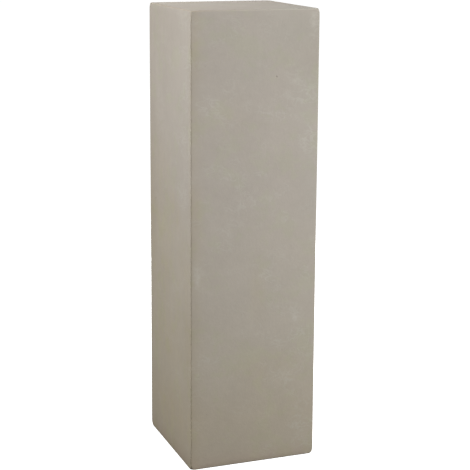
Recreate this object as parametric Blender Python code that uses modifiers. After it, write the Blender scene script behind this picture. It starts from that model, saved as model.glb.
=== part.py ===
"""A tall square display column in cement-look resin, cast as one hollow shell.

Lengths are in metres and +Z is up. The origin is the middle of the footprint, at floor level, and the
front face looks along -Y. The shell is closed on top and open underneath, as it came off its mould, and
it stands on the rim of its four walls.
"""

import math

import bmesh
import bpy

# Overall form
HEIGHT = 1.000
BASE_WIDTH = 0.2925
TOP_WIDTH = 0.2875

# Shell
SIDE_WALL = 0.007
TOP_WALL = 0.008

# Softened edges: tight arrises, fuller corners worn back by handling, and rounded edges inside
ARRIS_RADIUS = 0.0025
CORNER_RADIUS = 0.016
INNER_RADIUS = 0.005
ARRIS_STEPS = 4
CORNER_STEPS = 6
INNER_STEPS = 3
ARRIS_CLEARANCE = 0.00015

# Finish: linear colour of the grey-beige surface, and how matte it is
CEMENT_BEIGE = (0.354, 0.319, 0.262, 1.0)
CEMENT_ROUGHNESS = 0.88


def clear_scene():
    """Remove what is in the scene, so that the column is modelled in an empty one."""
    for item in list(bpy.data.objects):
        bpy.data.objects.remove(item, do_unlink=True)


def new_collection(name):
    collection = bpy.data.collections.new(name)
    bpy.context.scene.collection.children.link(collection)
    return collection


def cement_material():
    """Matte resin with mineral filler, in its average colour."""
    material = bpy.data.materials.new("cement_resin")
    material.use_nodes = True
    shader = material.node_tree.nodes["Principled BSDF"]
    shader.inputs["Base Color"].default_value = CEMENT_BEIGE
    shader.inputs["Roughness"].default_value = CEMENT_ROUGHNESS
    shader.inputs["Metallic"].default_value = 0.0
    return material


def width_at(height):
    """Outer width at a height above the floor: the sides lean in by the draft that frees the mould."""
    return BASE_WIDTH + (TOP_WIDTH - BASE_WIDTH) * height / HEIGHT


def drafted_block(name, bottom, top, inset, collection):
    """A square block between two heights, whose sides keep the column's draft at an inset from its own."""
    mesh = bpy.data.meshes.new(name)
    bm = bmesh.new()
    bmesh.ops.create_cube(bm, size=1)
    for vertex in bm.verts:
        vertex.co.z = top if vertex.co.z > 0 else bottom
        width = width_at(vertex.co.z) - 2 * inset
        vertex.co.x *= width
        vertex.co.y *= width
    bm.to_mesh(mesh)
    bm.free()
    block = bpy.data.objects.new(name, mesh)
    collection.objects.link(block)
    return block


def round_edges(block, name, radius, steps):
    """Round every edge of a block by a radius."""
    bevel = block.modifiers.new(name, "BEVEL")
    bevel.limit_method = "ANGLE"
    bevel.width = radius
    bevel.segments = steps


def combine(block, name, operation, cutter):
    """Cut or trim a block with another, which stays in the scene as a wire guide."""
    boolean = block.modifiers.new(name, "BOOLEAN")
    boolean.operation = operation
    boolean.solver = "EXACT"
    boolean.object = cutter
    cutter.hide_render = True
    cutter.display_type = "WIRE"


def corner_guide(collection):
    """A slightly larger block with fuller edges. Only the eight corners of the column reach out of it."""
    outset = (CORNER_RADIUS - ARRIS_RADIUS) * (1 - math.sqrt(0.5)) + ARRIS_CLEARANCE
    guide = drafted_block("corner_guide", -outset, HEIGHT + outset, -outset, collection)
    round_edges(guide, "full_edges", CORNER_RADIUS, CORNER_STEPS)
    return guide


def hollow_cutter(collection):
    """The space inside the shell, which runs on below the rim so that the cut leaves it open."""
    past_rim = HEIGHT / 10
    cutter = drafted_block("hollow", -past_rim, HEIGHT - TOP_WALL, SIDE_WALL, collection)
    round_edges(cutter, "inner_edges", INNER_RADIUS, INNER_STEPS)
    return cutter


def cast_shell(parts, cutters):
    """The column: a drafted block with softened arrises and worn corners, hollowed from below."""
    column = drafted_block("column", 0, HEIGHT, 0, parts)
    column.data.materials.append(cement_material())
    round_edges(column, "arrises", ARRIS_RADIUS, ARRIS_STEPS)
    combine(column, "worn_corners", "INTERSECT", corner_guide(cutters))
    combine(column, "hollow", "DIFFERENCE", hollow_cutter(cutters))


def main():
    clear_scene()
    parts = new_collection("resin_column")
    cutters = new_collection("cutters")
    cast_shell(parts, cutters)


main()
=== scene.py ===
# %% [markdown]
# # A resin display column
#
# The object is a tall square column, a metre high, that a garden or a shop stands a pot or a bust on.
# It is cast in resin filled with stone powder, so it looks like cement: matt, grey-beige, faintly
# mottled, with a soft edge all round. This lesson models that one casting and its finish. The real
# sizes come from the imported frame, and the looks come from operators, modifiers and shader nodes.

# %% Load the frame
import math

import bmesh
import bpy
import numpy as np
from mathutils import Euler, Matrix, Vector


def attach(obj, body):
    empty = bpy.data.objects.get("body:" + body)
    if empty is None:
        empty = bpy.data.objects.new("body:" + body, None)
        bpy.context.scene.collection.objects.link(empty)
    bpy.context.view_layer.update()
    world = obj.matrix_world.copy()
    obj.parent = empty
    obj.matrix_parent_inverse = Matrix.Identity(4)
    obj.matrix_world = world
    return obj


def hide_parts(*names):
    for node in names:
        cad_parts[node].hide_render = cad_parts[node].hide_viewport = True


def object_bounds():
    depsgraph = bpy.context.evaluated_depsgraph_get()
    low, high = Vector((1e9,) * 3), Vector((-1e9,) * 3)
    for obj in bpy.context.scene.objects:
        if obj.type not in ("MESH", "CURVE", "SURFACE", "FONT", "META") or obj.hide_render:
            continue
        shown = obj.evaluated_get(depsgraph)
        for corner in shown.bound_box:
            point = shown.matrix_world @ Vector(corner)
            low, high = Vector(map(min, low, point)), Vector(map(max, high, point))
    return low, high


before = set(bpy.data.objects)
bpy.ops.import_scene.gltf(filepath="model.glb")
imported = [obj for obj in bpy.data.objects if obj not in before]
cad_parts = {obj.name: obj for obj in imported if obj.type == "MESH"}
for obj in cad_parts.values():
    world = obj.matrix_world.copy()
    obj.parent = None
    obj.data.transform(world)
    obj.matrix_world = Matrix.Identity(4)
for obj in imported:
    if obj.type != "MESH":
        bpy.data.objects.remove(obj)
cad_low, cad_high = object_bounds()
print("frame nodes:", sorted(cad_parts), "size:", [round(side, 4) for side in cad_high - cad_low])

# %% [markdown]
# ## The camera
#
# The camera comes first. A lens, a place and three angles are enough. They could be found by eye, but
# the nine straight edges of the column give them exactly: only one camera makes those edges lean and
# shorten as they do in the photograph. It stands a little above the column's top, to the left of the front
# face, and looks down.

# %% Make the camera
LENS_MM = 101.169
SENSOR_MM = 36.0
CAMERA_PLACE = (-1.01136, -2.70913, 1.18604)
CAMERA_AZIMUTH = -20.649
CAMERA_ELEVATION = 13.557
CAMERA_ROLL = 0.345


def add_camera():
    """A camera turned by azimuth and elevation as a tripod head turns it, then by a slight roll."""
    camera = bpy.data.objects.new("camera", bpy.data.cameras.new("camera"))
    camera.data.lens = LENS_MM
    camera.data.sensor_width = SENSOR_MM
    head = Euler((math.radians(90 - CAMERA_ELEVATION), 0, math.radians(CAMERA_AZIMUTH)))
    roll = Matrix.Rotation(math.radians(CAMERA_ROLL), 4, "Z")
    camera.matrix_world = Matrix.Translation(CAMERA_PLACE) @ head.to_matrix().to_4x4() @ roll
    bpy.context.scene.collection.objects.link(camera)
    bpy.context.scene.camera = camera
    return camera


camera = add_camera()
print("camera at", [round(part, 3) for part in camera.matrix_world.translation])

# %% [markdown]
# ## Working by selection
#
# Operators act on what is selected, as they do by hand. Each step below enters edit mode on one piece,
# selects faces or edges by a plain test of their place or direction, and runs an operator on them.

# %% Enter edit mode and select
def edit(piece):
    """Enter edit mode on one piece, with nothing selected in it."""
    bpy.ops.object.select_all(action="DESELECT")
    bpy.context.view_layer.objects.active = piece
    piece.select_set(True)
    bpy.ops.object.mode_set(mode="EDIT")
    bpy.ops.mesh.select_all(action="DESELECT")


def leave_edit():
    """Go back to object mode, which writes the edits into the mesh."""
    bpy.ops.object.mode_set(mode="OBJECT")


def select(piece, kind, test):
    """In edit mode, select just the faces, edges or vertices that pass a test, and say how many did."""
    bpy.ops.mesh.select_all(action="DESELECT")
    bpy.ops.mesh.select_mode(type=kind)
    cage = bmesh.from_edit_mesh(piece.data)
    parts = {"FACE": cage.faces, "EDGE": cage.edges, "VERT": cage.verts}[kind]
    chosen = [part for part in parts if test(part)]
    for part in chosen:
        part.select_set(True)
    cage.select_flush_mode()
    bmesh.update_edit_mesh(piece.data)
    return len(chosen)


print("selection helpers ready")

# %% Tests to select by
LONG_EDGE = 0.1
NEARLY_ALONG = 0.995
NEARLY_LEVEL = 0.99


def runs_along(axis):
    """A test for long edges that run along an axis: 0 is X, 1 is Y and 2 is Z."""

    def test(edge):
        run = edge.verts[1].co - edge.verts[0].co
        return run.length > LONG_EDGE and abs(run[axis]) > NEARLY_ALONG * run.length

    return test


def faces_up(face):
    """A test for faces that look straight up."""
    return face.normal.z > NEARLY_LEVEL


def faces_down(face):
    """A test for faces that look straight down."""
    return face.normal.z < -NEARLY_LEVEL


print("an edge is long above", LONG_EDGE, "m")

# %% [markdown]
# ## The drafted block
#
# A casting leaves its mould only if the mould is a little narrower at one end, so the column is 5 mm
# narrower at the top. The block could be extruded from a square, but a cube with its top face resized
# is the same form in two steps. Its underside is taken away at once: the column is a shell.

# %% Sizes of the block
HEIGHT = cad_high.z - cad_low.z
BASE_WIDTH = 0.2925
TOP_WIDTH = 0.2875


def width_at(height):
    """Outer width of the column at a height above the floor."""
    return BASE_WIDTH + (TOP_WIDTH - BASE_WIDTH) * height / HEIGHT


print("the block narrows by", round(1000 * (BASE_WIDTH - TOP_WIDTH), 1), "mm over", round(HEIGHT, 3), "m")

# %% Model the outer skin
ARRIS_RADIUS = 0.0025
ARRIS_STEPS = 4


def drafted_block(name, top, inset):
    """An upright square block from the floor to a height, at an inset from the column's four sides."""
    foot = width_at(0) - 2 * inset
    head = width_at(top) - 2 * inset
    bpy.ops.object.select_all(action="DESELECT")
    bpy.ops.mesh.primitive_cube_add(size=1, location=(0, 0, top / 2), scale=(foot, foot, top))
    block = bpy.context.object
    block.name = name
    block.data.name = name
    bpy.ops.object.transform_apply(location=True, rotation=True, scale=True)
    edit(block)
    select(block, "FACE", faces_up)
    bpy.ops.transform.resize(value=(head / foot, head / foot, 1))
    return block


def round_edges(radius, steps):
    """Bevel the selected edges into arcs of a radius."""
    bpy.ops.mesh.bevel(offset=radius, segments=steps, affect="EDGES", clamp_overlap=False)


shell = drafted_block("column_shell", HEIGHT, 0)
arrises = select(shell, "EDGE", lambda edge: True)
round_edges(ARRIS_RADIUS, ARRIS_STEPS)
select(shell, "FACE", lambda face: faces_down(face) and face.calc_area() > LONG_EDGE**2)
bpy.ops.mesh.delete(type="FACE")
leave_edit()
print("outer skin:", arrises, "edges rounded,", len(shell.data.polygons), "faces")

# %% [markdown]
# ## A fine, even grid
#
# Hand finish, settling and wear move the surface by tenths of a millimetre, so the skin needs many
# small faces. Subdividing every face would also cut up the rounded arrises. Cutting the long edges of
# one direction at a time divides the flat faces into neat squares and leaves the arrises as they are.

# %% Divide the flat faces
OUTER_CELL = 0.0046


def divide(piece, cell):
    """Cut the long edges along X, Y and Z, one direction after another, into steps of about a cell."""
    edit(piece)
    for axis, length in enumerate((BASE_WIDTH, BASE_WIDTH, HEIGHT)):
        select(piece, "EDGE", runs_along(axis))
        bpy.ops.mesh.subdivide(number_cuts=round(length / cell) - 1)
    leave_edit()


divide(shell, OUTER_CELL)
print("outer skin divided into", len(shell.data.polygons), "faces")

# %% [markdown]
# ## Worn corners
#
# Carrying and knocking have rubbed the eight corners of the real casting down to small balls, while its
# long edges stayed tight. A wider bevel would soften everything alike. A guide block a few millimetres
# larger, with much rounder edges, touches the skin only at its corners, so a Shrinkwrap modifier set to
# Inside pulls just those points in, and a few rounds of smoothing blend the rubbed place into the faces.

# %% Divide the corners further
CORNER_REACH = 0.020
CORNER_CUTS = 2


def near_corner(place, reach):
    """True for a place within reach of one of the eight corners."""
    half = width_at(place.z) / 2
    rise = min(abs(place.z), abs(HEIGHT - place.z))
    return half - abs(place.x) < reach and half - abs(place.y) < reach and rise < reach


edit(shell)
corner_faces = select(shell, "FACE", lambda face: near_corner(face.calc_center_median(), CORNER_REACH))
bpy.ops.mesh.subdivide(number_cuts=CORNER_CUTS)
leave_edit()
print(corner_faces, "faces divided at the corners")

# %% Make the rounder guide
CORNER_RADIUS = 0.016
CORNER_STEPS = 12
GUIDE_CLEARANCE = 0.00015
GUIDE_OUTSET = (CORNER_RADIUS - ARRIS_RADIUS) * (1 - math.sqrt(0.5)) + GUIDE_CLEARANCE

guide = drafted_block("corner_guide", HEIGHT, -GUIDE_OUTSET)
select(guide, "VERT", lambda corner: corner.co.z > HEIGHT / 2)
bpy.ops.transform.translate(value=(0, 0, GUIDE_OUTSET))
select(guide, "VERT", lambda corner: corner.co.z < HEIGHT / 2)
bpy.ops.transform.translate(value=(0, 0, -GUIDE_OUTSET))
select(guide, "EDGE", lambda edge: True)
round_edges(CORNER_RADIUS, CORNER_STEPS)
leave_edit()
print("guide stands", round(1000 * GUIDE_OUTSET, 2), "mm off the faces")

# %% Rub down the corners
SMOOTHED_REACH = 0.8 * CORNER_REACH
SMOOTH_ROUNDS = 3


def apply_modifier(piece, kind, **settings):
    """Add a modifier to a piece, set it and apply it, as the Apply button does."""
    bpy.ops.object.select_all(action="DESELECT")
    piece.select_set(True)
    bpy.context.view_layer.objects.active = piece
    modifier = piece.modifiers.new(kind.lower(), kind)
    for name, value in settings.items():
        setattr(modifier, name, value)
    bpy.ops.object.modifier_apply(modifier=modifier.name)


apply_modifier(shell, "SHRINKWRAP", target=guide, wrap_method="NEAREST_SURFACEPOINT", wrap_mode="INSIDE")
bpy.data.objects.remove(guide)
edit(shell)
rubbed_points = select(shell, "VERT", lambda corner: near_corner(corner.co, SMOOTHED_REACH))
bpy.ops.mesh.vertices_smooth(factor=0.5, repeat=SMOOTH_ROUNDS)
leave_edit()
print("corners rubbed down to", CORNER_RADIUS, "m,", rubbed_points, "points smoothed")

# %% [markdown]
# ## A hand-made surface
#
# Resin shrinks as it hardens and the mould is never quite true, so no face is perfectly flat. Sculpting
# would show this too, but a Displace modifier with a soft cloud texture gives it evenly and repeatably.
# Its middle level is 1, so it only ever pushes inwards and the column keeps its outer size. A vertex
# group leaves out the lowest points, so the rim stays level on the floor.

# %% Push the skin gently out of true
RIM_KEPT = 0.0005
SKIN_CLOUDS = {
    "mould_out_of_true": (0.11, 0.0004),
    "hand_rubbing": (0.022, 0.0001),
}


def keep_rim_out(piece):
    """A vertex group of every point above the rim, which the modifiers then act on."""
    group = piece.vertex_groups.new(name="above_rim")
    raised = [corner.index for corner in piece.data.vertices if corner.co.z > RIM_KEPT]
    group.add(raised, 1.0, "REPLACE")
    return len(raised)


def push_by_clouds(piece, name, patch, depth):
    """Displace a piece inwards by up to a depth, in soft patches of about the given size."""
    clouds = bpy.data.textures.new(name, "CLOUDS")
    clouds.noise_scale = patch
    clouds.noise_depth = 2
    apply_modifier(
        piece,
        "DISPLACE",
        texture=clouds,
        texture_coords="LOCAL",
        direction="NORMAL",
        mid_level=1.0,
        strength=depth,
        vertex_group="above_rim",
    )


moved = keep_rim_out(shell)
for name, (patch, depth) in SKIN_CLOUDS.items():
    push_by_clouds(shell, name, patch, depth)
print("pushed", moved, "points of the outer skin")

# %% [markdown]
# ## The hollow
#
# Resin is costly, so the column is laid up inside its mould as a wall 7 mm thick. Solidify would give
# the wall in one step, but the inside has its own rounder edges and a rougher hand, so it is its own
# block. Its faces are turned to look into the hollow, it is joined to the outer skin, and the two open
# edges are bridged into the flat rim that the column stands on.

# %% Model the inner skin
SIDE_WALL = 0.007
TOP_WALL = 0.008
INNER_RADIUS = 0.005
INNER_STEPS = 3
INNER_CELL = 0.010
STROKE_PATCH = 0.035
STROKE_DEPTH = 0.0016

lining = drafted_block("lining", HEIGHT - TOP_WALL, SIDE_WALL)
select(lining, "FACE", faces_down)
bpy.ops.mesh.delete(type="FACE")
select(lining, "EDGE", lambda edge: not edge.is_boundary)
round_edges(INNER_RADIUS, INNER_STEPS)
leave_edit()
divide(lining, INNER_CELL)
keep_rim_out(lining)
push_by_clouds(lining, "lay_up_strokes", STROKE_PATCH, STROKE_DEPTH)
edit(lining)
bpy.ops.mesh.select_all(action="SELECT")
bpy.ops.mesh.flip_normals()
leave_edit()
print("inner skin:", len(lining.data.polygons), "faces")

# %% Give each skin its finish
CEMENT, LAY_UP = 0, 1

finishes = [bpy.data.materials.new("cement_face"), bpy.data.materials.new("raw_lay_up")]
for piece in (shell, lining):
    piece.data.materials.clear()
    for finish in finishes:
        piece.data.materials.append(finish)
for face in lining.data.polygons:
    face.material_index = LAY_UP
print("finishes:", [finish.name for finish in finishes])

# %% Join the skins and close the rim
shell.select_set(True)
lining.select_set(True)
bpy.context.view_layer.objects.active = shell
bpy.ops.object.join()
edit(shell)
rim_edges = select(shell, "EDGE", lambda edge: edge.is_boundary)
bpy.ops.mesh.bridge_edge_loops()
select(shell, "FACE", lambda face: faces_down(face) and face.calc_center_median().z < RIM_KEPT)
bpy.context.object.active_material_index = CEMENT
bpy.ops.object.material_slot_assign()
leave_edit()
print("rim bridged from", rim_edges, "edges; shell has", len(shell.data.polygons), "faces")

# %% [markdown]
# ## Pinholes and knocks
#
# Air bubbles caught against the mould leave small open pits, and a few edges have taken light knocks.
# A bump pattern can hint at both, but the larger ones have depth that a low light finds. The simplest
# tool by hand is a small ball pressed into the surface: many balls are joined into one cutter, and one
# Boolean Difference takes them all out. The front shows a single wide, shallow pit, so that one is
# listed on its own. A seeded draw places the rest, so each run gives the same column.

# %% Find places on the sides
SIDES = {
    "front": (Vector((1, 0, 0)), Vector((0, -1, 0))),
    "right": (Vector((0, 1, 0)), Vector((1, 0, 0))),
    "back": (Vector((-1, 0, 0)), Vector((0, 1, 0))),
    "left": (Vector((0, -1, 0)), Vector((-1, 0, 0))),
}


def on_side(side, across, height, out=0.0):
    """The place on a side face at a distance across from its middle, a height, and a lift off it."""
    along, outward = SIDES[side]
    return along * across + outward * (width_at(height) / 2 + out) + Vector((0, 0, height))


def ball(place, radius, detail, finish):
    """A small ball to press into the skin; the mark it leaves takes the given finish."""
    bpy.ops.mesh.primitive_ico_sphere_add(subdivisions=detail, radius=radius, location=place)
    cutter = bpy.context.object
    for slot in finishes:
        cutter.data.materials.append(slot)
    for face in cutter.data.polygons:
        face.material_index = finish
    return cutter


print("sides:", list(SIDES))

# %% Place the pits
FRONT_PIT = (0.0465, 0.8600)
FRONT_PIT_LIFT = 0.0012
FRONT_PIT_RADIUS = 0.0027
PITS_A_SIDE = 4
PIT_RADIUS = (0.0006, 0.0011)
PIT_ACROSS = (-0.12, 0.12)
PIT_HEIGHT = (0.06, 0.95)
PIT_LIFT = 0.2

rng = np.random.default_rng(41)
bpy.ops.object.select_all(action="DESELECT")
cutters = [ball(on_side("front", *FRONT_PIT, FRONT_PIT_LIFT), FRONT_PIT_RADIUS, 3, CEMENT)]
# The pits on the other sides take the darker raw lay-up finish: painted shade inside them.
for side in ("right", "back", "left"):
    for _ in range(PITS_A_SIDE):
        radius = rng.uniform(*PIT_RADIUS)
        across = rng.uniform(*PIT_ACROSS)
        height = rng.uniform(*PIT_HEIGHT)
        cutters.append(ball(on_side(side, across, height, PIT_LIFT * radius), radius, 2, LAY_UP))
print(len(cutters), "pits")

# %% [markdown]
# ## Where the knocks go
#
# A knock takes a shallow bite out of an upright edge. The edge is already rounded, so its surface lies a
# little in from both sides. Each ball stands off the edge at half a right angle, and reaches that far in
# and then a few tenths of a millimetre deeper.

# %% Place the knocks on the upright edges
KNOCKS_A_SIDE = 3
KNOCK_RADIUS = (0.005, 0.010)
KNOCK_HEIGHT = (0.05, 0.95)
KNOCK_DEPTH = (0.00025, 0.0006)
ROUNDED_OFF = 0.29 * ARRIS_RADIUS

for side in SIDES:
    for _ in range(KNOCKS_A_SIDE):
        radius = rng.uniform(*KNOCK_RADIUS)
        height = rng.uniform(*KNOCK_HEIGHT)
        edge_in = ROUNDED_OFF + rng.uniform(*KNOCK_DEPTH)
        off = (radius - edge_in) / math.sqrt(2)
        cutters.append(ball(on_side(side, width_at(height) / 2 + off, height, off), radius, 3, CEMENT))
print(len(cutters), "pits and knocks")

# %% Press them into the skin
SMOOTH_ANGLE = 40

bpy.ops.object.select_all(action="DESELECT")
for cutter in cutters:
    cutter.select_set(True)
bpy.context.view_layer.objects.active = cutters[0]
bpy.ops.object.join()
bpy.ops.object.transform_apply(location=True, rotation=True, scale=True)
press = bpy.context.object
apply_modifier(shell, "BOOLEAN", object=press, operation="DIFFERENCE", solver="EXACT")
bpy.data.objects.remove(press)
bpy.ops.object.select_all(action="DESELECT")
shell.select_set(True)
bpy.context.view_layer.objects.active = shell
bpy.ops.object.shade_smooth_by_angle(angle=math.radians(SMOOTH_ANGLE))
triangles = sum(len(face.vertices) - 2 for face in shell.data.polygons)
print("shell has", triangles, "triangles")

# %% Put the shell in the frame
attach(shell, "root")
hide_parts("column")
print(shell.name, "stands for the column")

# %% [markdown]
# ## Where the bloom, the chalk and some painted light lie
#
# Some of the finish belongs to one place. Bloom is lime that dried on the face in pale clusters, and
# chalk is the few small, flat touches that something pale left in passing. Weight painting would place
# them, but a list of soft spots keeps them exact. A row gives the side, the place across from its middle,
# the height, the half width, the half height and the strength.

# %% Spots of pale bloom and painted light
BLOOM_AND_PAINTED_LIGHT_SPOTS = [
    ("front", 0.132, 0.975, 0.009, 0.022, 1.0),
    ("front", 0.045, 0.990, 0.018, 0.006, 0.8),
    ("front", -0.085, 0.960, 0.060, 0.026, 0.35),
    ("front", 0.008, 0.920, 0.006, 0.005, 1.0),
    ("front", -0.090, 0.802, 0.034, 0.024, 1.0),
    ("front", -0.060, 0.740, 0.030, 0.014, 0.6),
    ("front", 0.108, 0.822, 0.022, 0.024, 1.0),
    ("front", 0.122, 0.729, 0.016, 0.032, 1.0),
    ("front", 0.080, 0.775, 0.030, 0.014, 0.7),
    ("front", 0.020, 0.790, 0.030, 0.012, 0.5),
    ("front", -0.020, 0.650, 0.040, 0.014, 0.8),
    ("front", -0.085, 0.668, 0.026, 0.016, 0.6),
    ("front", 0.000, 0.590, 0.046, 0.014, 0.8),
    ("front", -0.100, 0.560, 0.030, 0.012, 0.6),
    ("front", 0.070, 0.555, 0.040, 0.012, 0.6),
    ("front", -0.134, 0.440, 0.008, 0.026, 1.0),
    ("front", -0.063, 0.516, 0.032, 0.014, 0.7),
    ("front", 0.030, 0.427, 0.030, 0.030, 0.8),
    ("front", 0.098, 0.333, 0.014, 0.014, 1.0),
    ("front", 0.125, 0.390, 0.012, 0.030, 0.7),
    ("front", -0.020, 0.306, 0.016, 0.010, 0.9),
    ("front", 0.062, 0.279, 0.040, 0.012, 0.7),
    ("front", -0.100, 0.246, 0.030, 0.014, 0.9),
    ("front", 0.070, 0.190, 0.026, 0.022, 0.9),
    # These two spots lighten the lower right of the front: painted light where the lamps fall short.
    ("front", 0.112, 0.290, 0.034, 0.036, 0.8),
    ("front", 0.118, 0.066, 0.032, 0.040, 0.9),
    ("left", 0.110, 0.800, 0.030, 0.150, 0.9),
    ("left", 0.085, 0.604, 0.022, 0.026, 0.9),
    ("right", 0.020, 0.700, 0.060, 0.030, 0.8),
    ("right", -0.070, 0.450, 0.030, 0.040, 0.7),
    ("back", -0.050, 0.780, 0.040, 0.050, 0.8),
    ("back", 0.060, 0.350, 0.050, 0.030, 0.6),
]
print(len(BLOOM_AND_PAINTED_LIGHT_SPOTS), "spots of bloom")

# %% Chalky rub marks
CHALK_SPOTS = [
    ("front", -0.1300, 0.4490, 0.0028, 0.0045, 0.7),
    ("front", -0.1292, 0.4310, 0.0032, 0.0065, 0.75),
    ("front", -0.1150, 0.4430, 0.0060, 0.0040, 0.35),
    ("front", 0.0980, 0.3270, 0.0034, 0.0040, 0.6),
    ("front", 0.0910, 0.8520, 0.0060, 0.0030, 0.5),
    ("front", 0.1300, 0.9700, 0.0026, 0.0100, 0.5),
]
print(len(CHALK_SPOTS), "chalky rub marks")

# %% [markdown]
# ## Where the stain lies
#
# Stain is a yellowish wash that water left as it dried: a long patch on the left face and a narrow band
# beside the front's left edge. It has no outline of its own, so a few wide spots that overlap are enough,
# and the shader breaks them up later.

# %% Spots of yellowish stain
STAIN_SPOTS = [
    ("front", -0.140, 0.500, 0.014, 0.600, 0.45),
    ("front", -0.138, 0.575, 0.011, 0.045, 0.8),
    ("front", -0.138, 0.930, 0.011, 0.060, 0.6),
    ("left", 0.143, 0.700, 0.008, 0.220, 0.6),
    ("left", -0.120, 0.520, 0.050, 0.135, 0.9),
    ("left", -0.040, 0.440, 0.060, 0.120, 0.8),
    ("left", 0.090, 0.400, 0.040, 0.100, 0.5),
    ("left", -0.040, 0.655, 0.028, 0.030, 0.5),
    ("left", 0.022, 0.585, 0.014, 0.018, 0.6),
    ("left", 0.050, 0.550, 0.020, 0.018, 0.7),
    ("left", 0.134, 0.320, 0.026, 0.120, 1.0),
    ("left", 0.000, 0.250, 0.110, 0.060, 0.8),
    ("left", 0.000, 0.090, 0.140, 0.060, 0.7),
    ("front", -0.060, 0.780, 0.040, 0.030, 0.25),
    ("front", 0.010, 0.400, 0.012, 0.040, 0.5),
    ("front", 0.030, 0.210, 0.060, 0.030, 0.5),
    ("back", 0.040, 0.420, 0.080, 0.160, 0.7),
    ("right", -0.030, 0.300, 0.070, 0.120, 0.6),
]
print(len(STAIN_SPOTS), "spots of stain")

# %% [markdown]
# ## Where the grime, the painted shade and the damp lie
#
# The grime mask darkens the foot, the upright edges and the upper corners: painted shade with some grey
# dirt, where hands and cloths seldom reach. The damp-looking patches are a touch greener than the rest, as
# where resin hardens more slowly. Both are so faint that a modelled layer would be lost on them.

# %% Spots of grime and painted shade
GRIME_AND_SHADE_SPOTS = [
    # Beside the upright edges and along the foot these spots paint shade, with some dirt.
    ("front", -0.146, 0.880, 0.009, 0.120, 0.55),
    ("front", -0.146, 0.640, 0.009, 0.060, 0.2),
    ("front", -0.146, 0.480, 0.009, 0.070, 1.0),
    ("front", -0.146, 0.300, 0.009, 0.080, 0.8),
    ("front", -0.146, 0.130, 0.008, 0.100, 0.8),
    ("front", -0.146, 0.220, 0.050, 0.160, 0.35),
    ("front", 0.146, 0.910, 0.060, 0.060, 0.75),
    ("left", 0.000, 0.000, 0.200, 0.024, 1.0),
    ("left", 0.128, 0.270, 0.020, 0.040, 0.5),
    ("left", 0.056, 0.562, 0.014, 0.016, 0.25),
    ("left", -0.100, 0.970, 0.080, 0.050, 0.7),
    ("left", -0.020, 0.900, 0.045, 0.060, 0.25),
    ("left", -0.146, 0.620, 0.032, 0.300, 0.9),
    ("back", -0.146, 0.500, 0.010, 0.350, 0.4),
    ("back", 0.000, 0.000, 0.200, 0.040, 0.4),
    ("right", 0.000, 0.000, 0.200, 0.035, 0.35),
]
print(len(GRIME_AND_SHADE_SPOTS), "spots of grime")

# %% Cool, damp-looking patches
DAMP_SPOTS = [
    ("front", 0.095, 0.955, 0.055, 0.035, 0.9),
    ("front", 0.120, 0.850, 0.030, 0.050, 0.7),
    ("front", 0.135, 0.640, 0.022, 0.070, 0.6),
    ("front", -0.010, 0.870, 0.035, 0.025, 0.4),
    ("right", -0.080, 0.900, 0.060, 0.070, 0.7),
    ("right", 0.060, 0.550, 0.040, 0.090, 0.5),
    ("back", 0.040, 0.880, 0.070, 0.050, 0.6),
]
print(len(DAMP_SPOTS), "damp-looking patches")

# %% [markdown]
# ## Painting the masks
#
# Every point of the mesh gets the joint strength of the spots around it, on the side that it faces. The
# five masks are kept as the piece's own attributes, so they stay with it in a render and in the export,
# and the cement face reads them by name.

# %% Paint the masks
MASKS = {
    "bloom": BLOOM_AND_PAINTED_LIGHT_SPOTS,
    "chalk": CHALK_SPOTS,
    "stain": STAIN_SPOTS,
    "grime_and_shade": GRIME_AND_SHADE_SPOTS,
    "damp": DAMP_SPOTS,
}


def paint(piece, name, spots):
    """Give every point of a piece the joint strength of the soft spots on the side that it faces."""
    count = len(piece.data.vertices)
    places = np.empty(count * 3)
    normals = np.empty(count * 3)
    piece.data.vertices.foreach_get("co", places)
    piece.data.vertices.foreach_get("normal", normals)
    places = places.reshape(-1, 3)
    normals = normals.reshape(-1, 3)
    strength = np.zeros(count)
    for side, across, height, half_width, half_height, weight in spots:
        along, outward = SIDES[side]
        over = (places @ np.array(along) - across) / half_width
        up = (places[:, 2] - height) / half_height
        facing = normals @ np.array(outward) > 0.5
        spot = weight * np.exp(-0.5 * (over**2 + up**2)) * facing
        strength = 1 - (1 - strength) * (1 - spot)
    attribute = piece.data.attributes.new(name, "FLOAT", "POINT")
    attribute.data.foreach_set("value", strength)
    return int((strength > 0.1).sum())


for name, spots in MASKS.items():
    print(name, "on", paint(shell, name, spots), "points")

# %% [markdown]
# ## Building with nodes
#
# A finish is a network of nodes, and writing one by hand repeats three moves: add a node, set it, link
# it. The helpers below do those moves in one line each. A value that is itself a socket gets linked, and
# a plain number is typed into the field.

# %% Add nodes and fill their fields
NODES_A_ROW = 8
NODE_STEP = (200, -260)


def fill(tree, socket, value):
    """Link a socket into a field, or type a plain value into it."""
    if isinstance(value, bpy.types.NodeSocket):
        tree.links.new(value, socket)
    else:
        socket.default_value = value


def add(tree, kind, settings=None, **fields):
    """Add one node beside the last, set its options, and fill its named fields."""
    node = tree.nodes.new("ShaderNode" + kind)
    count = len(tree.nodes)
    node.location = (NODE_STEP[0] * (count % NODES_A_ROW), NODE_STEP[1] * (count // NODES_A_ROW))
    for name, value in (settings or {}).items():
        setattr(node, name, value)
    for name, value in fields.items():
        fill(tree, node.inputs[name], value)
    return node


print("nodes go", NODES_A_ROW, "to a row")

# %% Sums, spans, noise and blends
def sums(tree, operation, *values):
    """A Math node of one operation, filled from the top; gives its result."""
    node = add(tree, "Math", {"operation": operation})
    for socket, value in zip(node.inputs, values):
        fill(tree, socket, value)
    return node.outputs[0]


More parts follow.
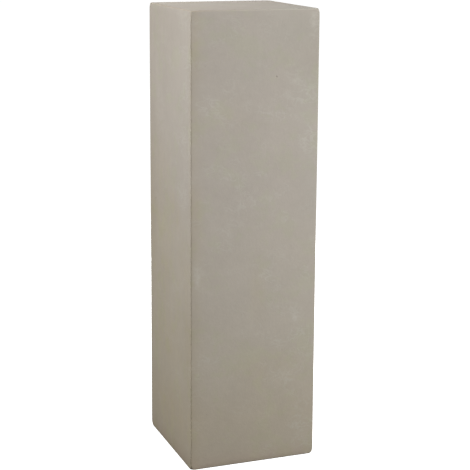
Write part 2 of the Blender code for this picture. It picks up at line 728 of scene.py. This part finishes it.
def span(tree, value, low, high, to_low, to_high):
    """A smooth Map Range from one span to another; gives its result."""
    fields = {"Value": value, "From Min": low, "From Max": high, "To Min": to_low, "To Max": to_high}
    return add(tree, "MapRange", {"interpolation_type": "SMOOTHSTEP"}, **fields).outputs["Result"]


def noise(tree, vector, scale, detail=2.0, distortion=0.0):
    """Noise with about so many features to a metre; gives its value."""
    fields = {"Vector": vector, "Scale": scale, "Detail": detail, "Distortion": distortion}
    return add(tree, "TexNoise", **fields).outputs[0]


def blend(tree, mask, under, over, how="MIX"):
    """Mix two colours by a mask; gives the mixed colour."""
    node = add(tree, "Mix", {"data_type": "RGBA", "blend_type": how})
    fill(tree, node.inputs[0], mask)
    fill(tree, node.inputs[6], under)
    fill(tree, node.inputs[7], over)
    return node.outputs[2]


print("sums, spans, noise and blends ready")

# %% Make and use node groups
def new_group(name, inputs, outputs):
    """A node group with a vector input, named number inputs and named number outputs."""
    group = bpy.data.node_groups.new(name, "ShaderNodeTree")
    group.interface.new_socket("Vector", in_out="INPUT", socket_type="NodeSocketVector")
    for label, value in inputs.items():
        field = group.interface.new_socket(label, in_out="INPUT", socket_type="NodeSocketFloat")
        field.default_value = value
    for label in outputs:
        group.interface.new_socket(label, in_out="OUTPUT", socket_type="NodeSocketFloat")
    start = group.nodes.new("NodeGroupInput").outputs
    end = group.nodes.new("NodeGroupOutput").inputs
    return group, start, end


def use(tree, group, **fields):
    """Place a group in a material with its own values; gives its outputs."""
    return add(tree, "Group", {"node_tree": group}, **fields).outputs


print("group helpers ready")

# %% [markdown]
# ## Cement grain
#
# Stone powder settles unevenly in resin, so the tone drifts in soft clouds, and the skin has a fine tooth
# like sanded mortar. One noise texture can't do both, because its octaves are tied together. The group
# keeps clouds and tooth apart, each with its own size, and puts out a tone and a height.

# %% Build the grain group
CLOUD_SHARE = 0.65
TOOTH_SHARE = 0.35

grain, start, end = new_group("cement grain", {"Cloud": 0.05, "Tooth": 0.0015}, ["Tone", "Height"])
cloud_scale = sums(grain, "DIVIDE", 1.0, start["Cloud"])
tooth_scale = sums(grain, "DIVIDE", 1.0, start["Tooth"])
clouds = noise(grain, start["Vector"], cloud_scale, detail=5.0, distortion=0.4)
tooth = noise(grain, start["Vector"], tooth_scale, detail=3.0)
mixed = sums(grain, "MULTIPLY_ADD", clouds, CLOUD_SHARE, sums(grain, "MULTIPLY", tooth, TOOTH_SHARE))
fill(grain, end["Tone"], mixed)
fill(grain, end["Height"], tooth)
print("grain group:", len(grain.nodes), "nodes")

# %% [markdown]
# ## Pin pores
#
# Bubbles too small to model leave pores under a millimetre wide. A Voronoi texture scatters one point in
# each cell, and the pore is the small ball around it. Only a share of the cells keep theirs, picked by
# the cell's own random colour, so the pores come singly and never in rows.

# %% Build the pore group
PORE_RIM = 0.6

pores, start, end = new_group("pin pores", {"Spacing": 0.012, "Radius": 0.0006, "Share": 0.3}, ["Mask"])
cell_scale = sums(pores, "DIVIDE", 1.0, start["Spacing"])
cells = add(pores, "TexVoronoi", Vector=start["Vector"], Scale=cell_scale)
distance = sums(pores, "MULTIPLY", cells.outputs["Distance"], start["Spacing"])
inside = span(pores, sums(pores, "DIVIDE", distance, start["Radius"]), PORE_RIM, 1.0, 1.0, 0.0)
draw = add(pores, "SeparateColor", Color=cells.outputs["Color"]).outputs[0]
kept = sums(pores, "LESS_THAN", draw, start["Share"])
fill(pores, end["Mask"], sums(pores, "MULTIPLY", inside, kept))
print("pore group:", len(pores.nodes), "nodes")

# %% [markdown]
# ## Bloom flecks
#
# The pale marks are thin curls, like dried lime on mortar. Where a noise crosses its middle value it
# draws just such winding lines, so the group keeps a narrow band around that value, and breaks the lines
# up with a second, broader noise.

# %% Build the fleck group
LYING = (0.6, 0.6, 1.0)
MIDDLE = 0.5
LINE_WIDTH = 0.07
PATCH_SCALE = 0.45
BARE_LEVEL = 0.75
LEVEL_PER_COVER = 0.4
PATCH_EDGE = (-0.05, 0.12)

flecks, start, end = new_group("bloom flecks", {"Size": 0.008, "Cover": 0.5}, ["Mask"])
curl_scale = sums(flecks, "DIVIDE", 1.0, start["Size"])
lying = add(flecks, "Mapping", Vector=start["Vector"], Scale=LYING).outputs[0]
curls = noise(flecks, lying, curl_scale, detail=2.0, distortion=0.8)
off_middle = sums(flecks, "ABSOLUTE", sums(flecks, "SUBTRACT", curls, MIDDLE))
lines = span(flecks, off_middle, 0.0, LINE_WIDTH, 1.0, 0.0)
broken = noise(flecks, lying, sums(flecks, "MULTIPLY", curl_scale, PATCH_SCALE), detail=1.0)
covered = sums(flecks, "MULTIPLY", start["Cover"], LEVEL_PER_COVER)
level = sums(flecks, "SUBTRACT", BARE_LEVEL, covered)
patches = span(flecks, sums(flecks, "SUBTRACT", broken, level), *PATCH_EDGE, 0.0, 1.0)
fill(flecks, end["Mask"], sums(flecks, "MULTIPLY", lines, patches))
print("fleck group:", len(flecks.nodes), "nodes")

# %% [markdown]
# ## Run marks
#
# Water and release agent run down an upright face and leave faint long streaks, and inside the shell the
# brush did the same. Noise stretched along one axis gives streaks: each coordinate is divided by the
# streak's own width or length first, and a slight distortion keeps them from looking ruled.

# %% Build the streak group
streaks, start, end = new_group("run marks", {"Width": 0.012, "Length": 0.25}, ["Tone"])
axes = add(streaks, "SeparateXYZ", Vector=start["Vector"]).outputs
stretched = {
    "X": sums(streaks, "DIVIDE", axes["X"], start["Width"]),
    "Y": sums(streaks, "DIVIDE", axes["Y"], start["Width"]),
    "Z": sums(streaks, "DIVIDE", axes["Z"], start["Length"]),
}
squeezed = add(streaks, "CombineXYZ", **stretched).outputs[0]
fill(streaks, end["Tone"], noise(streaks, squeezed, 1.0, detail=3.0, distortion=0.3))
print("streak group:", len(streaks.nodes), "nodes")

# %% [markdown]
# ## Distance to an edge
#
# Hands and cloths rub the long edges, and the finish paints light along the top's front and right edges.
# A bevel or pointiness node finds edges in a render only, so the exported model would lose them. The
# column is a plain block, so the distance is simple sums: of the three distances to the nearest sides and
# the top, the one in the middle. The second output is a thin line of painted shade beside each upright
# edge.

# %% Build the edge group
EDGE_SHADE_IN = 0.0021

edge_inputs = {
    "Foot": BASE_WIDTH / 2,
    "Head": TOP_WIDTH / 2,
    "Height": HEIGHT,
    "Reach": 0.003,
    "Seam": EDGE_SHADE_IN,
}
rubbed, start, end = new_group("edge distance", edge_inputs, ["Mask", "Seam"])
axes = add(rubbed, "SeparateXYZ", Vector=start["Vector"]).outputs
risen = sums(rubbed, "DIVIDE", axes["Z"], start["Height"])
narrower = sums(rubbed, "MULTIPLY", risen, sums(rubbed, "SUBTRACT", start["Head"], start["Foot"]))
half = sums(rubbed, "ADD", start["Foot"], narrower)
to_side = sums(rubbed, "SUBTRACT", half, sums(rubbed, "ABSOLUTE", axes["X"]))
to_front = sums(rubbed, "SUBTRACT", half, sums(rubbed, "ABSOLUTE", axes["Y"]))
to_top = sums(rubbed, "SUBTRACT", start["Height"], axes["Z"])
print("column half width at the foot:", BASE_WIDTH / 2)

# %% Pick out the rubbed edges and the line of painted shade
EDGE_SHADE_FADE = (0.1, 0.8)
FRONT_SKIN = 0.0026

nearer = sums(rubbed, "MINIMUM", to_side, to_front)
farther = sums(rubbed, "MAXIMUM", to_side, to_front)
middle = sums(rubbed, "MAXIMUM", nearer, sums(rubbed, "MINIMUM", farther, to_top))
reached = sums(rubbed, "DIVIDE", middle, start["Reach"])
fill(rubbed, end["Mask"], span(rubbed, reached, 0.0, 1.0, 1.0, 0.0))
# A thin line of painted shade beside each upright edge, on the front and back faces.
off_edge_shade = sums(rubbed, "ABSOLUTE", sums(rubbed, "SUBTRACT", to_side, start["Seam"]))
edge_shade = span(rubbed, sums(rubbed, "DIVIDE", off_edge_shade, start["Seam"]), *EDGE_SHADE_FADE, 1.0, 0.0)
on_front = sums(rubbed, "LESS_THAN", to_front, FRONT_SKIN)
fill(rubbed, end["Seam"], sums(rubbed, "MULTIPLY", edge_shade, on_front))
print("edge group:", len(rubbed.nodes), "nodes")

# %% [markdown]
# ## The cement face: ground
#
# The outer finish is built up layer on layer, as a painter would. Under everything lies a ground that
# drifts from pinkish grey at the top to khaki lower down, and is darker and browner just above the floor:
# painted shade at the foot, with some dirt. A vertex colour could carry the drift, but it only depends on
# height, so a Color Ramp over height does it.

# %% Start a finish
def blank(material):
    """Open a new material's tree, and give it with its shader and the piece's own coordinates."""
    material.use_nodes = True
    tree = material.node_tree
    shader = tree.nodes["Principled BSDF"]
    vector = add(tree, "TexCoord").outputs["Object"]
    return tree, shader, vector


def ramp(tree, value, stops):
    """A colour ramp with smooth steps between its stops; gives its colour."""
    node = add(tree, "ValToRGB", Fac=value)
    node.color_ramp.interpolation = "EASE"
    while len(node.color_ramp.elements) < len(stops):
        node.color_ramp.elements.new(0.5)
    for element, (place, colour) in zip(node.color_ramp.elements, stops):
        element.position = place
        element.color = colour
    return node.outputs["Color"]


print("a new finish opens with its shader and Object coordinates")

# %% Lay the ground
GROUND = [
    # The lowest stop is darker and browner: painted shade at the foot, with some dirt.
    (0.000, (0.428, 0.368, 0.290, 1)),
    (0.045, (0.443, 0.396, 0.312, 1)),
    (0.10, (0.447, 0.400, 0.315, 1)),
    (0.22, (0.453, 0.413, 0.341, 1)),
    (0.42, (0.447, 0.410, 0.348, 1)),
    (0.65, (0.436, 0.399, 0.346, 1)),
    (1.00, (0.430, 0.394, 0.342, 1)),
]

tree, shader, vector = blank(finishes[CEMENT])
axes = add(tree, "SeparateXYZ", Vector=vector).outputs
height = axes["Z"]
colour = ramp(tree, sums(tree, "DIVIDE", height, HEIGHT), GROUND)
print("ground drifts through", len(GROUND), "tones")

# %% [markdown]
# ## The cement face: mottling
#
# Real cement is mottled at several sizes at once, which no single noise gives. Two grain groups set the
# tone, one in hand-wide clouds and one in thumb-wide ones. Both multiply the ground by a grey that swings
# about white, so the mean tone stays where it was.

# %% Mottle the tone
BROAD_SWING = 0.16
FINE_SWING = 0.14


def grey(tree, value):
    """A number as a grey colour, for multiplying."""
    return add(tree, "CombineColor", Red=value, Green=value, Blue=value).outputs[0]


def swing(tree, tone, reach):
    """A tone between 0 and 1 as a factor that swings by a reach about 1."""
    return sums(tree, "MULTIPLY_ADD", tone, reach, 1 - reach / 2)


broad = use(tree, grain, Vector=vector, Cloud=0.075, Tooth=0.006)
fine = use(tree, grain, Vector=vector, Cloud=0.014, Tooth=0.0012)
broad_tone = swing(tree, broad["Tone"], BROAD_SWING)
fine_tone = swing(tree, fine["Tone"], FINE_SWING)
colour = blend(tree, 1.0, colour, grey(tree, sums(tree, "MULTIPLY", broad_tone, fine_tone)), "MULTIPLY")
print("mottled tone:", len(tree.nodes), "nodes")

# %% [markdown]
# ## The cement face: hue and sand
#
# The stone powder isn't one colour either. A third grain group leans the hue to pink or to green in
# blotches, the damp-looking patches are a little greener still, and specks of dark sand come from the
# pore group, because sand lies as singly as pores do.

# %% Turn the hue and strew the sand
PINKER = (0.998, 0.985, 0.992, 1)
GREENER = (0.986, 1.0, 0.956, 1)
HUE_EDGE = (0.50, 0.60)
DAMP_TONE = (0.968, 0.992, 0.988, 1)
SAND_TONE = (0.30, 0.28, 0.25, 1)
SAND_STRENGTH = 0.12


def painted(tree, name):
    """The mask that was painted on the piece under a name."""
    return add(tree, "Attribute", {"attribute_name": name}).outputs["Fac"]


blotch = use(tree, grain, Vector=vector, Cloud=0.06, Tooth=0.016)["Tone"]
hue = blend(tree, span(tree, blotch, *HUE_EDGE, 0.0, 1.0), PINKER, GREENER)
colour = blend(tree, 1.0, colour, hue, "MULTIPLY")
colour = blend(tree, painted(tree, "damp"), colour, DAMP_TONE, "MULTIPLY")
sand = use(tree, pores, Vector=vector, Spacing=0.005, Radius=0.0007, Share=0.4)["Mask"]
colour = blend(tree, sums(tree, "MULTIPLY", sand, SAND_STRENGTH), colour, SAND_TONE)
print("with hue and sand:", len(tree.nodes), "nodes")

# %% [markdown]
# ## The cement face: stain and run marks
#
# Old water stain is a yellowish wash that soaked in unevenly, so the painted mask is broken up by the
# run marks and the blotches before it tints the ground. The marks themselves show as faint upright
# streaks, strongest on the left and right faces, where the light is most glancing.

# %% Stain the ground
STAIN_TONE = (1.0, 0.97, 0.87, 1)
RUN_SHARE = 0.4
BLOTCH_SHARE = 0.6
SOAKED_FROM = (0.40, 0.60)
SOAKED_TO = (0.55, 1.0)
RUN_SWING = 0.07
RUNS_ON_FRONT = 0.25
SIDE_FACE = (0.1415, 0.1425)

runs = use(tree, streaks, Vector=vector, Width=0.014, Length=0.30)["Tone"]
uneven = sums(tree, "MULTIPLY_ADD", runs, RUN_SHARE, sums(tree, "MULTIPLY", blotch, BLOTCH_SHARE))
soaked = span(tree, uneven, *SOAKED_FROM, *SOAKED_TO)
stained = sums(tree, "MULTIPLY", painted(tree, "stain"), soaked)
colour = blend(tree, stained, colour, STAIN_TONE, "MULTIPLY")
on_side_face = span(tree, sums(tree, "ABSOLUTE", axes["X"]), *SIDE_FACE, RUNS_ON_FRONT, 1.0)
colour = blend(tree, on_side_face, colour, grey(tree, swing(tree, runs, RUN_SWING)), "MULTIPLY")
print("with stain and run marks:", len(tree.nodes), "nodes")

# %% [markdown]
# ## The cement face: bloom, painted light and chalk
#
# Bloom is lime that dried on the face in curls. A few curls lie everywhere, and where the mask is
# painted they come thicker, stronger and over a faint pale haze. Chalky rub marks are flat touches of
# the same pale tone, broken up only by the fine grain.

# %% Add bloom, painted light and chalk
BLOOM_AND_PAINTED_LIGHT_TONE = (0.55, 0.545, 0.48, 1)
CHALK_TONE = (0.55, 0.525, 0.465, 1)
COVER_ALL_OVER = 0.42
COVER_PAINTED = 0.60
CURLS_ALL_OVER = 0.12
CURLS_PAINTED = 0.13
HAZE_AND_PAINTED_LIGHT = 0.05
RUBBED_FROM = (0.40, 0.56)
RUBBED_TO = (0.3, 0.9)

mask = painted(tree, "bloom")
cover = sums(tree, "MULTIPLY_ADD", mask, COVER_PAINTED, COVER_ALL_OVER)
curled = use(tree, flecks, Vector=vector, Size=0.014, Cover=cover)["Mask"]
strength = sums(tree, "MULTIPLY_ADD", mask, CURLS_PAINTED, CURLS_ALL_OVER)
bloom_and_painted_light = sums(tree, "MULTIPLY", curled, strength)
# The haze also carries the painted light of the two low spots on the front's right.
bloom_and_painted_light = sums(tree, "ADD", bloom_and_painted_light, sums(tree, "MULTIPLY", mask, HAZE_AND_PAINTED_LIGHT))
colour = blend(tree, bloom_and_painted_light, colour, BLOOM_AND_PAINTED_LIGHT_TONE)
chalky = sums(tree, "MULTIPLY", painted(tree, "chalk"), span(tree, fine["Tone"], *RUBBED_FROM, *RUBBED_TO))
colour = blend(tree, chalky, colour, CHALK_TONE)
print("with bloom and chalk:", len(tree.nodes), "nodes")

# %% [markdown]
# ## The cement face: dirt and painted shade
#
# Three darkenings share one tone: a thin line of painted shade beside each upright edge, the painted
# grime mask, which is painted shade with some dirt, and painted contact shade with some dirt along the
# foot. They are added up first and multiplied in once.

# %% Add dirt and painted shade
DIRT_AND_SHADE_TONE = (0.80, 0.78, 0.74, 1)
EDGE_SHADE_DARKENING = 0.48
GRIME_AND_SHADE_DARKENING = 0.45
FOOT_SHADE_AND_DIRT = 0.30
FOOT_HEIGHT = 0.014

edges = use(tree, rubbed, Vector=vector, Reach=0.0035)
# Painted contact shade with some dirt: darker in the last 14 mm above the floor.
foot = span(tree, height, 0.0, FOOT_HEIGHT, 1.0, 0.0)
shaded_and_grimy = sums(tree, "MULTIPLY", painted(tree, "grime_and_shade"), GRIME_AND_SHADE_DARKENING)
dirt_and_shade = sums(tree, "MULTIPLY_ADD", edges["Seam"], EDGE_SHADE_DARKENING, shaded_and_grimy)
dirt_and_shade = sums(tree, "ADD", dirt_and_shade, sums(tree, "MULTIPLY", foot, FOOT_SHADE_AND_DIRT))
colour = blend(tree, dirt_and_shade, colour, DIRT_AND_SHADE_TONE, "MULTIPLY")
print("with dirt:", len(tree.nodes), "nodes")

# %% [markdown]
# ## The cement face: top, painted light and pores
#
# The top is a little warmer than the sides. It is painted lighter towards its front-right corner and
# along its front and right edges: painted light where the lamps fall short. Dark pin pores come last,
# painted shade in holes through every layer above.

# %% Finish the top with painted light and prick the pores with painted shade
TOP_TONE = (1.012, 0.965, 0.905, 1)
PORE_SHADE_TONE = (0.30, 0.27, 0.23, 1)
PORE_SHADE = 0.6
TOP_SKIN = (HEIGHT - 0.003, HEIGHT - 0.001)
TOP_LIGHT_REACH = (0.06, 0.26)
TOP_LIGHT = 0.30
TOP_EDGE_LIGHT_REACH = (0.0, 0.08)
TOP_EDGE_LIGHT = 0.45

on_top = span(tree, height, *TOP_SKIN, 0.0, 1.0)
colour = blend(tree, on_top, colour, TOP_TONE, "MULTIPLY")
# Painted light: lighter towards the top's front-right corner and along its front and right edges.
near_front = sums(tree, "SUBTRACT", axes["X"], axes["Y"])
painted_top_light = span(tree, near_front, *TOP_LIGHT_REACH, 0.0, TOP_LIGHT)
painted_top_edge_light = sums(tree, "MULTIPLY", edges["Mask"], span(tree, near_front, *TOP_EDGE_LIGHT_REACH, 0.0, TOP_EDGE_LIGHT))
painted_light_on_top = sums(tree, "MULTIPLY", on_top, sums(tree, "ADD", painted_top_light, painted_top_edge_light))
colour = blend(tree, painted_light_on_top, colour, BLOOM_AND_PAINTED_LIGHT_TONE)
# Dark pin pores: painted shade inside them.
holes = use(tree, pores, Vector=vector, Spacing=0.016, Radius=0.0007, Share=0.35)["Mask"]
colour = blend(tree, sums(tree, "MULTIPLY", holes, PORE_SHADE), colour, PORE_SHADE_TONE)
fill(tree, shader.inputs["Base Color"], colour)
print("colour finished:", len(tree.nodes), "nodes")

# %% [markdown]
# ## The cement face: gloss and relief
#
# The face is matt, and a touch smoother where hands have polished the edges. Grain and bloom stand up
# and pores go in, all by less than a millimetre. Displacing the mesh for that would take millions of
# faces, so one Bump node carries it, with its height in millimetres.

# %% Set gloss and relief
MATT = 0.83
DULLED_BY_GRAIN = 0.10
POLISHED_BY_HANDS = 0.10
SPECULAR = 0.3
FINE_RELIEF = 0.12
BROAD_RELIEF = 0.25
PORE_RELIEF = 0.5
BLOOM_RELIEF = 0.06
MILLIMETRE = 0.001


def emboss(tree, shader, relief):
    """Give a shader a relief, whose height is in millimetres."""
    bump = add(tree, "Bump", Strength=1.0, Distance=MILLIMETRE, Height=relief)
    fill(tree, shader.inputs["Normal"], bump.outputs["Normal"])


rough = sums(tree, "MULTIPLY_ADD", broad["Tone"], DULLED_BY_GRAIN, MATT)
rough = sums(tree, "SUBTRACT", rough, sums(tree, "MULTIPLY", edges["Mask"], POLISHED_BY_HANDS))
fill(tree, shader.inputs["Roughness"], rough)
shader.inputs["Specular IOR Level"].default_value = SPECULAR
waves = sums(tree, "MULTIPLY", broad["Height"], BROAD_RELIEF)
relief = sums(tree, "MULTIPLY_ADD", fine["Height"], FINE_RELIEF, waves)
relief = sums(tree, "SUBTRACT", relief, sums(tree, "MULTIPLY", holes, PORE_RELIEF))
relief = sums(tree, "ADD", relief, sums(tree, "MULTIPLY", curled, BLOOM_RELIEF))
emboss(tree, shader, relief)
print("cement face:", len(tree.nodes), "nodes")

# %% [markdown]
# ## The raw lay-up
#
# Inside, nobody finished anything: the resin is as the brush left it, browner and glossier than the
# cement face, with strands of glass mat showing through and runs towards the open end. It shares the
# grain, pore and streak groups with the outside, at coarser sizes.

# %% Mix the bare resin
RESIN_TONE = (0.36, 0.31, 0.225, 1)
RESIN_RICH = (0.22, 0.17, 0.105, 1)
RICH_EDGE = (0.4, 0.6)

tree, shader, vector = blank(finishes[LAY_UP])
coarse = use(tree, grain, Vector=vector, Cloud=0.06, Tooth=0.004)
runs = use(tree, streaks, Vector=vector, Width=0.022, Length=0.16)["Tone"]
rich = sums(tree, "MULTIPLY_ADD", runs, 0.5, sums(tree, "MULTIPLY", coarse["Tone"], 0.5))
rich = span(tree, rich, *RICH_EDGE, 0.0, 1.0)
colour = blend(tree, rich, RESIN_TONE, RESIN_RICH)
print("bare resin:", len(tree.nodes), "nodes")

# %% [markdown]
# ## The raw lay-up: strands
#
# Glass mat is chopped strands lying every way. Real strands would need thousands of small curves, and
# only the topmost show, so two lays of long, narrow streaks, each turned its own way in space, stand in
# for them.

# %% Lay the strands over the resin
STRAND_TONE = (0.52, 0.49, 0.40, 1)
STRAND_STRENGTH = 0.5
STRAND_EDGE = (0.60, 0.72)
STRAND_LENGTH = 0.05
STRAND_LAYS = [
    ((0.6, 0.5, 0.8), 0.0016),
    ((-0.7, 0.9, -0.4), 0.0018),
]

strands = []
for turn, width in STRAND_LAYS:
    turned = add(tree, "Mapping", Vector=vector, Rotation=turn).outputs[0]
    strands.append(use(tree, streaks, Vector=turned, Width=width, Length=STRAND_LENGTH)["Tone"])
strand = span(tree, sums(tree, "MAXIMUM", *strands), *STRAND_EDGE, 0.0, 1.0)
colour = blend(tree, sums(tree, "MULTIPLY", strand, STRAND_STRENGTH), colour, STRAND_TONE)
print("resin with", len(strands), "lays of strands:", len(tree.nodes), "nodes")

# %% [markdown]
# ## The raw lay-up: gloss and relief
#
# Where the resin pooled it is darker and shinier, so one mask drives both. Strands and runs stand up,
# bubbles burst into round holes, and again one Bump node carries what is too small to model.

# %% Finish the raw lay-up
HOLE_SHADE = 0.5
RESIN_ROUGH = 0.72
POOLED_ROUGH = -0.25
COARSE_RELIEF = 0.5
STRAND_RELIEF = 0.25
HOLE_RELIEF = 0.8
RUN_RELIEF = 0.8

holes = use(tree, pores, Vector=vector, Spacing=0.018, Radius=0.0014, Share=0.5)["Mask"]
# The holes are darkened: painted shade inside them.
colour = blend(tree, sums(tree, "MULTIPLY", holes, HOLE_SHADE), colour, PORE_SHADE_TONE)
fill(tree, shader.inputs["Base Color"], colour)
fill(tree, shader.inputs["Roughness"], sums(tree, "MULTIPLY_ADD", rich, POOLED_ROUGH, RESIN_ROUGH))
raised = sums(tree, "MULTIPLY", strand, STRAND_RELIEF)
relief = sums(tree, "MULTIPLY_ADD", coarse["Height"], COARSE_RELIEF, raised)
relief = sums(tree, "SUBTRACT", relief, sums(tree, "MULTIPLY", holes, HOLE_RELIEF))
relief = sums(tree, "ADD", relief, sums(tree, "MULTIPLY", runs, RUN_RELIEF))
emboss(tree, shader, relief)
print("raw lay-up:", len(tree.nodes), "nodes")

# %% [markdown]
# ## The studio
#
# The floor is a pale sheet that reads white far away and takes only a breath of shadow beside the column.
# It is hidden from diffuse rays, so it throws no light back up, and a little glow of its own keeps it
# white out to the horizon, where no lamp reaches.

# %% Lay the floor
FLOOR_SIZE = 60

bpy.ops.object.select_all(action="DESELECT")
bpy.ops.mesh.primitive_plane_add(size=FLOOR_SIZE, location=(0, 0, 0))
floor = bpy.context.object
floor.name = "floor"
floor.visible_diffuse = False
floor.visible_glossy = False
print("floor", [round(side, 1) for side in floor.dimensions])

# %% Give the floor its white sheet
SHEET_TONE = (0.8, 0.8, 0.8, 1)
GLOW_REACH = (0.3, 2.5)
GLOW = (0.80, 1.0)

paper = bpy.data.materials.new("white_sheet")
paper.cycles.emission_sampling = "NONE"
tree, shader, vector = blank(paper)
shader.inputs["Base Color"].default_value = SHEET_TONE
shader.inputs["Roughness"].default_value = 1.0
shader.inputs["Specular IOR Level"].default_value = 0.0
shader.inputs["Emission Strength"].default_value = 1.0
far = add(tree, "VectorMath", {"operation": "LENGTH"})
fill(tree, far.inputs[0], vector)
glow = span(tree, far.outputs["Value"], *GLOW_REACH, *GLOW)
fill(tree, shader.inputs["Emission Color"], grey(tree, glow))
floor.data.materials.append(paper)
print("white sheet:", len(tree.nodes), "nodes")

# %% [markdown]
# ## Light
#
# The left face is brightest and fades downwards, the front is a step darker, and the edge between them
# is darker than both, which only happens when one lamp stands on either side and none behind the camera.
# So there are two square softboxes on the left, one on the right and none between, and a last one
# behind for the views from the back. The world is white to the camera but adds only a little light.

# %% Place the softboxes
LAMPS = {
    "left_high": (-100, 1.5, 2.2, 27.7),
    "left_low": (-70, 2.2, 1.2, 25.5),
    "right_low": (45, 2.2, 1.2, 53.0),
    "behind": (165, 2.2, 1.2, 45.0),
}
AIM = Vector((0, 0, 0.75))
BOX_SIDE = 1.0


def softbox(name, azimuth, distance, height, watts):
    """A square area lamp on a circle round the column, turned towards its upper half."""
    turn = math.radians(azimuth)
    place = Vector((math.sin(turn) * distance, -math.cos(turn) * distance, height))
    bpy.ops.object.light_add(type="AREA", location=place)
    lamp = bpy.context.object
    lamp.name = name
    lamp.data.size = BOX_SIDE
    lamp.data.energy = watts
    lamp.rotation_euler = (AIM - place).to_track_quat("-Z", "Y").to_euler()
    lamp.visible_camera = False


for name, (azimuth, distance, height, watts) in LAMPS.items():
    softbox(name, azimuth, distance, height, watts)
print(len(LAMPS), "softboxes placed")

# %% Light the world
WORLD_LIGHT = 0.06

world = bpy.data.worlds.new("studio")
bpy.context.scene.world = world
world.use_nodes = True
tree = world.node_tree
backdrop = tree.nodes["Background"]
backdrop.inputs["Color"].default_value = (1, 1, 1, 1)
seen = add(tree, "LightPath").outputs["Is Camera Ray"]
fill(tree, backdrop.inputs["Strength"], sums(tree, "MAXIMUM", seen, WORLD_LIGHT))
bpy.context.scene.view_settings.view_transform = "Standard"
print("world light", WORLD_LIGHT)
